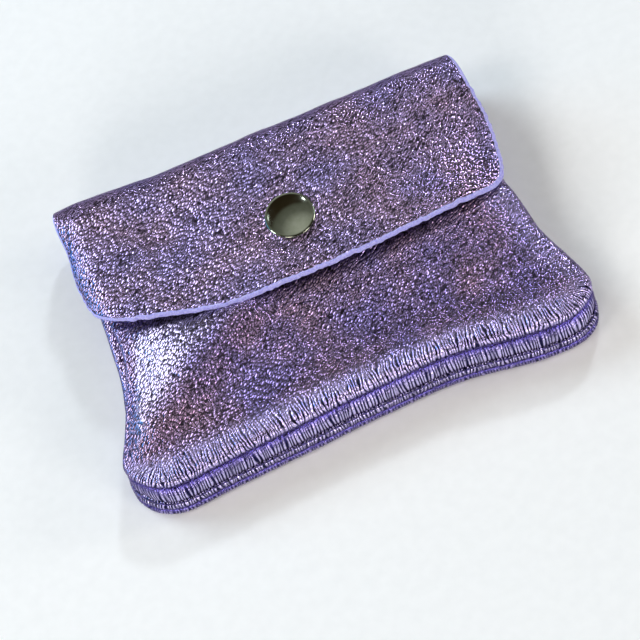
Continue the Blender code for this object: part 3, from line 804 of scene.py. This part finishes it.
def panel(mouth_width, mouth_y, face_z, up, rise, fine, front):
    """One pouch panel: its face, the rolled edge on three sides and the seam allowance."""
    corner_y = BOTTOM_Y + CORNER

    def pitch_at(path):
        low = ease((corner_y + 6 * MM - path[:, 1]) / (6 * MM))
        return (SIDE_PITCH + (SEAM_PITCH - SIDE_PITCH) * low) * fine

    edge = Edge(pouch_path(mouth_width, mouth_y), pitch_at)
    at_bottom = ease((corner_y + 2 * MM - edge.points[:, 1]) / (8 * MM))
    side = np.where(edge.points[:, 0] < 0, LEFT_PULL, RIGHT_PULL)
    edge.pull = side + (1.0 - side) * at_bottom

    def height(x, y, drop, crowned):
        z = face_z - up * drop + crowned * crown(x, y, mouth_width, mouth_y, rise)
        return z + crowned * face_swell(x, y) if front else z

    shell = Shell()
    mouth = int((mouth_width - 2 * BAND_WIDTH) / MOUTH_PITCH)
    hole = SNAP_HOLE if front else None
    sides = []
    for radius, top_drop, spacing, finish, relief in (
            (ROLL, 0.0, FACE_PITCH * fine, 0, 1.0), (ROLL - LEATHER, LEATHER, HIDDEN_PITCH, 2, 0.0)):
        rows = roll_rows(radius, top_drop, 2 * ROLL - top_drop)
        sides.append(shell.leaf(edge, rows, height, spacing, hole, mouth, [finish] * len(rows), relief))
    shell.join(sides, 0)
    shell.join(sides, 1)
    if hole:
        shell.join(sides, 2, closed=True)
    return shell


def stand_for(piece, body, slot, *nodes):
    """Make a piece move with its body, and hide the CAD nodes it replaces; slot, the finish's name, is not
    used.
    """
    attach(piece, body)
    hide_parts(*nodes)


def build_panels():
    """The four pouch panels, from the back to the front."""
    stand = (
        ("rear_pouch", "back_panel", REAR_WIDTH, FOLD_Y, 0.0, -1, 0.0, 1.5),
        ("rear_pouch", "rear_pocket_wall", REAR_WIDTH, WALL_MOUTH_Y, REAR_TOP, 1, WALL_CROWN, 1.2),
        ("front_pouch", "front_pocket_wall", FRONT_WIDTH, FRONT_MOUTH_Y, FRONT_BOTTOM, -1,
         WALL_CROWN, 1.2),
        ("front_pouch", "front_panel", FRONT_WIDTH, FRONT_MOUTH_Y, FRONT_TOP, 1, FRONT_CROWN, 1.0),
    )
    for number, (body, node, *shape) in enumerate(stand):
        front = node == "front_panel"
        shell = panel(*shape, front)
        if body == "front_pouch":
            shell.points = [tilted(points) for points in shell.points]
        piece = apply_tree(
            shell.build(node + "_leather", stretched_and_sheened=front), RELIEF, pucker_pitch=0.8 * MM,
            pucker_length=4 * MM,
            pucker_depth=PUCKER_DEPTH[node], pucker_begin=(2.2 if "wall" in node else 0.4) * MM,
            pucker_start=4 * MM, pucker_reach=(12.0 if front else 8.0) * MM,
            wrinkle_size=11 * MM, wrinkle_depth=0.5 * MM, seed=3.7 * number,
            grain_side=SHADED_PANEL_GRAIN if front else GATHERED_GRAIN, cut_edge=CUT, flesh_side=FLESH)
        stand_for(piece, body, "foiled_leather", node)


def build_flap():
    """The flap and the fold behind it in one shell, which runs on round the fold."""
    edge = Edge(flap_path(), lambda path: np.full(len(path), 0.4 * MM))
    # The bevel shrinks along the left margin, which bends down
    edge.taper = 1.0 - 0.6 * ease((-43 * MM - edge.points[:, 0]) / (8 * MM))
    rough = np.random.default_rng(4).normal(size=len(edge.run) + 2)
    waver = 0.06 * MM * (rough[:-2] + rough[1:-1] + rough[2:])
    waver = waver * ease(edge.run / (4 * MM)) * ease((edge.run[-1] - edge.run) / (4 * MM))
    edge.points = edge.inset(waver / edge.taper)
    cut = ((0.0, 0.15), (0.2, 0.45), (0.5, 0.75), (0.85, 0.88))
    outer = [(a * MM, b * MM, 0.0, NO_SEAM) for a, b in cut]
    inner = [(a * MM, 0.0, 0.0, NO_SEAM) for a, _ in cut]
    for i in range(1, 7):
        inset = (1.3 + 5.0 * (i / 6) ** 1.2) * MM
        outer.append((inset, LEATHER, 0.0, NO_SEAM))
        inner.append((inset, 0.0, 0.0, NO_SEAM))

    def height(x, y, lift, _):
        """The flap's height, pressed down round the cap."""
        out = np.hypot(x, y - SNAP_Y) / MM
        dent = 0.45 * MM * ease((out - 4.5) / 2.5) * np.exp(-(np.maximum(out - 7.0, 0.0) / 3.5) ** 2)
        return flap_z(x, y) + lift - dent

    shell = Shell()
    sides = [
        shell.leaf(edge, outer, height, FACE_PITCH, SNAP_HOLE, 120, [1, 1, 1] + [0] * 7, 1.0),
        shell.leaf(edge, inner, height, HIDDEN_PITCH, SNAP_HOLE, 120, [1] + [2] * 9, 0.0),
    ]
    shell.join(sides, 2, closed=True)
    shell.join(sides, 1)
    # The fold goes on from the flap's last row, round to the back panel
    points = np.vstack(shell.points)
    runs = np.concatenate(shell.values["seam_run"])
    aways = np.concatenate(shell.values["seam_distance"])
    chains = []
    for side, (border, _, _) in enumerate(sides):
        start = points[border]
        lift = start[:, 2] - flap_z(start[:, 0], start[:, 1])
        rows = [border]
        for share in np.linspace(0, 1, 5)[1:]:
            y = np.full(len(border), FLAP_START_Y + FOLD_LAP * share)
            z = flap_z(start[:, 0], y) + lift
            rows.append(shell.add_points(np.column_stack((start[:, 0], y, z)), runs[border],
                                         aways[border], 1.0 - side))
        top = flap_z(start[:, 0], np.full(len(border), FOLD_Y)) + LEATHER
        for turn in np.linspace(math.pi / 2, -math.pi / 2, FOLD_STEPS + 1)[1:]:
            share = (1 + math.sin(turn)) / 2
            spread = 1 - (1 - REAR_WIDTH / FLAP_WIDTH) * (1 - share)
            reach = FOLD_DEPTH - LEATHER + lift
            z = top / 2 + (top / 2 - LEATHER + lift) * math.sin(turn)
            rows.append(shell.add_points(
                np.column_stack((start[:, 0] * spread, FOLD_Y + reach * math.cos(turn), z)),
                runs[border], aways[border], 1.0 - side))
        chains.append(np.array(rows))
        faces = quads(chains[-1])
        kinds = np.full(len(border) - 1, 2 if side else 0)
        kinds[:1 if side else 3] = 1
        kinds[-1 if side else -3:] = 1
        for column, kind in enumerate(kinds):
            shell.add_faces(faces[column::len(kinds)], int(kind))
    for part in ((slice(None), 0), (slice(None), -1), -1):
        shell.join(chains, part)
    shell.points = [bend_margin(np.vstack(shell.points))]
    piece = apply_tree(
        shell.build("flap_leather"), RELIEF, pucker_pitch=1.2 * MM, pucker_length=6 * MM,
        pucker_depth=0.0, pucker_begin=1 * MM, pucker_start=2 * MM, pucker_reach=6 * MM,
        wrinkle_size=12 * MM, wrinkle_depth=0.9 * MM, seed=21.0, grain_side=GRAIN, cut_edge=CUT,
        flesh_side=FLESH)
    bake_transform(piece)
    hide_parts("flap", "flap_fold")


def stitch_tree():
    """Geometry nodes that set short stitches along a path, each dipping at its ends."""
    tree, add, given = shape_tree(
        "stitch_row", ("Pitch", "Stitch Length", "Thread Radius", "Rise"), ("Thread",))
    path = add("GeometryNodeMeshToCurve", {"Mesh": given["Geometry"]})
    spaced = add("GeometryNodeResampleCurve", {"Curve": path, "Length": given["Pitch"]}, mode="LENGTH")
    half = add(TIMES, (given["Stitch Length"], 0.5))
    arch = add("GeometryNodeCurveQuadraticBezier", {
        "Resolution": 6, "Start": add(JOINED, (add(TIMES, (half, -1.0)),)),
        "Middle": add(JOINED, {"Y": add(TIMES, (given["Rise"], 2.0))}),
        "End": add(JOINED, (half,))})
    ring = add("GeometryNodeCurvePrimitiveCircle", {"Resolution": 8, "Radius": given["Thread Radius"]})
    stitch = add("GeometryNodeCurveToMesh", {"Curve": arch, "Profile Curve": ring, "Fill Caps": True})
    facing = add("FunctionNodeAlignEulerToVector", {"Vector": add("GeometryNodeInputTangent")},
                 axis="X", pivot_axis="Z")
    rows = add("GeometryNodeInstanceOnPoints", {"Points": spaced, "Instance": stitch, "Rotation": facing})
    real = add("GeometryNodeRealizeInstances", {"Geometry": rows})
    smooth = add("GeometryNodeSetShadeSmooth", {"Geometry": real})
    result = add("GeometryNodeSetMaterial", {"Geometry": smooth, "Material": given["Thread"]})
    add("NodeGroupOutput", {"Geometry": result})
    return tree


def build_seams():
    """Rows of stitches in the grooves between the rolled edges."""
    tree = stitch_tree()
    rows = (
        ("rear_pouch", "rear_seam", REAR_WIDTH, WALL_MOUTH_Y, REAR_TOP / 2, 0.0),
        ("rear_pouch", "joining", FRONT_WIDTH, FRONT_MOUTH_Y, REAR_TOP + GAP / 2, 34 * MM),
        ("front_pouch", "front_seam", FRONT_WIDTH, FRONT_MOUTH_Y, (FRONT_BOTTOM + FRONT_TOP) / 2, 0.0),
    )
    for body, seam, width, mouth_y, z, skip in rows:
        edge = Edge(pouch_path(width, mouth_y), lambda path: np.full(len(path), 0.6 * MM))
        # The joining row starts some way down the sides, and lies less deep
        flat = edge.inset(THREAD_INSET / (2 if skip else 1))
        flat = flat[(edge.run > skip) & (edge.run < edge.run[-1] - skip)]
        points = np.column_stack((flat, np.full(len(flat), z)))
        if body == "front_pouch":
            points = tilted(points)
        name = seam + "_stitches"
        mesh = bpy.data.meshes.new(name)
        mesh.from_pydata(settle(points).tolist(), [(i, i + 1) for i in range(len(points) - 1)], [])
        piece = apply_tree(added(name, mesh), tree, pitch=2.3 * MM, stitch_length=1.9 * MM,
                           thread_radius=THREAD / 2, rise=0.12 * MM, thread=THREAD_FINISH)
        stand_for(piece, body, "sewing_thread", seam + "_thread")


def turned(name, profile, material):
    """A turned piece from its closed outline of radius and height, in the snap's frame."""
    steps, count = TURNED_STEPS, len(profile)
    turn = np.linspace(0, 2 * math.pi, steps, endpoint=False)
    radius, height = np.array(profile).T
    points = np.stack((np.outer(np.cos(turn), radius), np.outer(np.sin(turn), radius),
                       np.broadcast_to(height, (steps, count))), -1).reshape(-1, 3)
    numbers = np.pad(np.arange(steps * count).reshape(steps, count), ((0, 1), (0, 1)), "wrap")
    mesh = bpy.data.meshes.new(name)
    mesh.from_pydata(points.tolist(), [], quads(numbers).tolist())
    faced_out(mesh, clean=True)
    mesh.set_sharp_from_angle(angle=math.radians(50.0))
    mesh.materials.append(material)
    foot = Vector((0.0, SNAP_Y, front_z(0.0, SNAP_Y)))
    mesh.transform(Matrix.Translation(foot) @ Matrix.Rotation(TILT, 4, "X"))
    return added(name, mesh)


def build_snap():
    """The polished cap, turned finely; the snap's other parts keep their CAD shape."""
    base = SNAP_HEIGHT + LEATHER + SNAP_PLAY
    edge = 2 * CAP_METAL
    turn = np.linspace(0, math.pi * 0.62, 9)
    rim = 0.35 * MM
    dome = [(CAP_RADIUS * s, base + edge + 0.78 * (CAP_RISE - edge) * (1 - s * s))
            for s in np.linspace(0, 0.93, 16)]
    curl = [(CAP_RADIUS - rim + rim * math.sin(a), base + edge - rim * 0.35 + rim * math.cos(a))
            for a in turn[2:]]
    under = [(CAP_RADIUS - CAP_METAL, base), (CAP_BORE, base), (CAP_BORE, base + CAP_METAL / 2),
             (CAP_RADIUS - 2 * CAP_METAL, base + CAP_METAL / 2)]
    inner = [((CAP_RADIUS - 2 * CAP_METAL) * s,
              base + edge - CAP_METAL + 0.76 * (CAP_RISE - edge) * (1 - s * s))
             for s in np.linspace(0.98, 0, 10)]
    cap = turned("snap_cap_dome", dome + curl + under + inner, NICKEL)
    stand_for(cap, "flap", "black_nickel", "snap_cap")
    for node in ("snap_cap_rivet", "snap_socket", "snap_stud", "snap_stud_rivet", "snap_spring"):
        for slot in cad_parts[node].material_slots:
            slot.material = SPRING if node == "snap_spring" else NICKEL


# Room

def floor_finish():
    """Matt white paper with a barely visible tooth, which goes over into an even background."""
    material, add, shader, place = finish_of("matt_white_paper")
    tooth = add(NOISE, {"Vector": place, "Scale": 1 / (3 * MM), "Detail": 2.0})
    set_inputs(shader, {
        "Base Color": add(RAMP, (tooth,), ((0.3, "#F4F4F5"), (0.7, "#F7F7F8"))), "Roughness": 0.95,
        "Specular IOR Level": 0.1})
    # Far from the purse, what is seen is a pale glow, and the light still falls on paper
    away = add(VECTOR, (place,), operation="LENGTH")
    far = add(SOFT_RANGE, (away, 0.3, 1.1))
    light = add("ShaderNodeLightPath").outputs
    seen = add(PLUS, (light["Is Camera Ray"], light["Is Glossy Ray"]))
    seen = add(MATH, (add(PLUS, (seen, light["Is Transmission Ray"])), 1.0), operation="MINIMUM")
    share = add(TIMES, (far, seen))
    pale = add("ShaderNodeEmission", (colour("#EEF3F8"), 1.0))
    both = add("ShaderNodeMixShader", (share, shader, pale))
    set_inputs(material.node_tree.nodes["Material Output"], {"Surface": both})
    return material


def add_lamp(name, azimuth, elevation, size, power, code):
    """A round soft lamp that looks at the purse. Azimuth 0 is towards +Y, 90 towards +X."""
    a, e = math.radians(azimuth), math.radians(elevation)
    away = Vector((math.sin(a) * math.cos(e), math.cos(a) * math.cos(e), math.sin(e)))
    data = bpy.data.lights.new(name, "AREA")
    data.shape = "DISK"
    data.size = size
    data.energy = power
    data.color = colour(code)[:3]
    lamp = added(name, data)
    lamp.location = away * LAMP_DISTANCE
    lamp.rotation_euler = away.to_track_quat("Z", "Y").to_euler()


def build_floor():
    """Plain paper under the purse, in coarse squares."""
    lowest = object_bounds()[0].z
    places = np.linspace(-FLOOR_REACH, FLOOR_REACH, FLOOR_SQUARES + 1)
    spots = [(x, y, lowest) for y in places for x in places]
    grid = np.arange(len(spots)).reshape(len(places), -1)
    mesh = bpy.data.meshes.new("floor")
    mesh.from_pydata(spots, [], quads(grid).tolist())
    mesh.materials.append(floor_finish())
    floor = added("floor", mesh)


def build_light():
    """What the leather and the cap mirror: the room around, and six soft lamps."""
    world = bpy.data.worlds.new("studio")
    bpy.context.scene.world = world
    world.use_nodes = True
    add = partial(add_node, world.node_tree)
    way = add(PLACE).outputs["Generated"]
    # A pale ceiling over dim brown walls with a grey foot, and a blue light low at the left
    ahead = add(DOT, (way, (0.16, 0.02, 0.985)))
    room = add(RAMP, (ahead,), ((0.0, "#8E9098"), (0.16, "#7C7E86"), (0.3, "#262024"),
                                (0.5, "#32281F"), (0.8, "#42382A"), (0.84, "#7A7C74"),
                                (0.91, "#90928C"), (1.0, "#F0F2EE")))
    side = add(DOT, (way, (-0.86, 0.47, 0.19)))
    patch = add(SOFT_RANGE, (side, 0.92, 0.965))
    blue = add(COLOUR_MIX, {"Factor": patch, "A": room, "B": colour("#46C4FF")})
    set_inputs(world.node_tree.nodes["Background"], {
        "Color": blue, "Strength": add(TIMES_PLUS, (patch, 1.4, 1.0))})
    for lamp in LAMPS:
        add_lamp(*lamp)


def build_camera():
    """The photograph's viewpoint: from the front, 60 degrees up, turned clockwise by 19 degrees."""
    e, a, r = (math.radians(angle) for angle in (CAMERA_UP, CAMERA_TURN, CAMERA_ROLL))
    back = Vector((math.sin(a) * math.cos(e), -math.cos(a) * math.cos(e), math.sin(e)))
    data = bpy.data.cameras.new("camera")
    data.lens = FOCAL_PIXELS * data.sensor_width / FRAME_PIXELS
    data.clip_start = 0.01
    camera = added("camera", data)
    right = (-back).cross(Vector((0.0, 0.0, 1.0))).normalized()
    up = right.cross(-back)
    across = right * math.cos(r) - up * math.sin(r)
    above = right * math.sin(r) + up * math.cos(r)
    turn = Matrix((across, above, back)).transposed().to_4x4()
    camera.matrix_world = Matrix.Translation(CAMERA_AIM + back * CAMERA_DISTANCE) @ turn
    bpy.context.scene.camera = camera


build_panels()
build_flap()
build_seams()
build_snap()
build_floor()
build_light()
build_camera()
bpy.context.scene.view_settings.view_transform = "Standard"
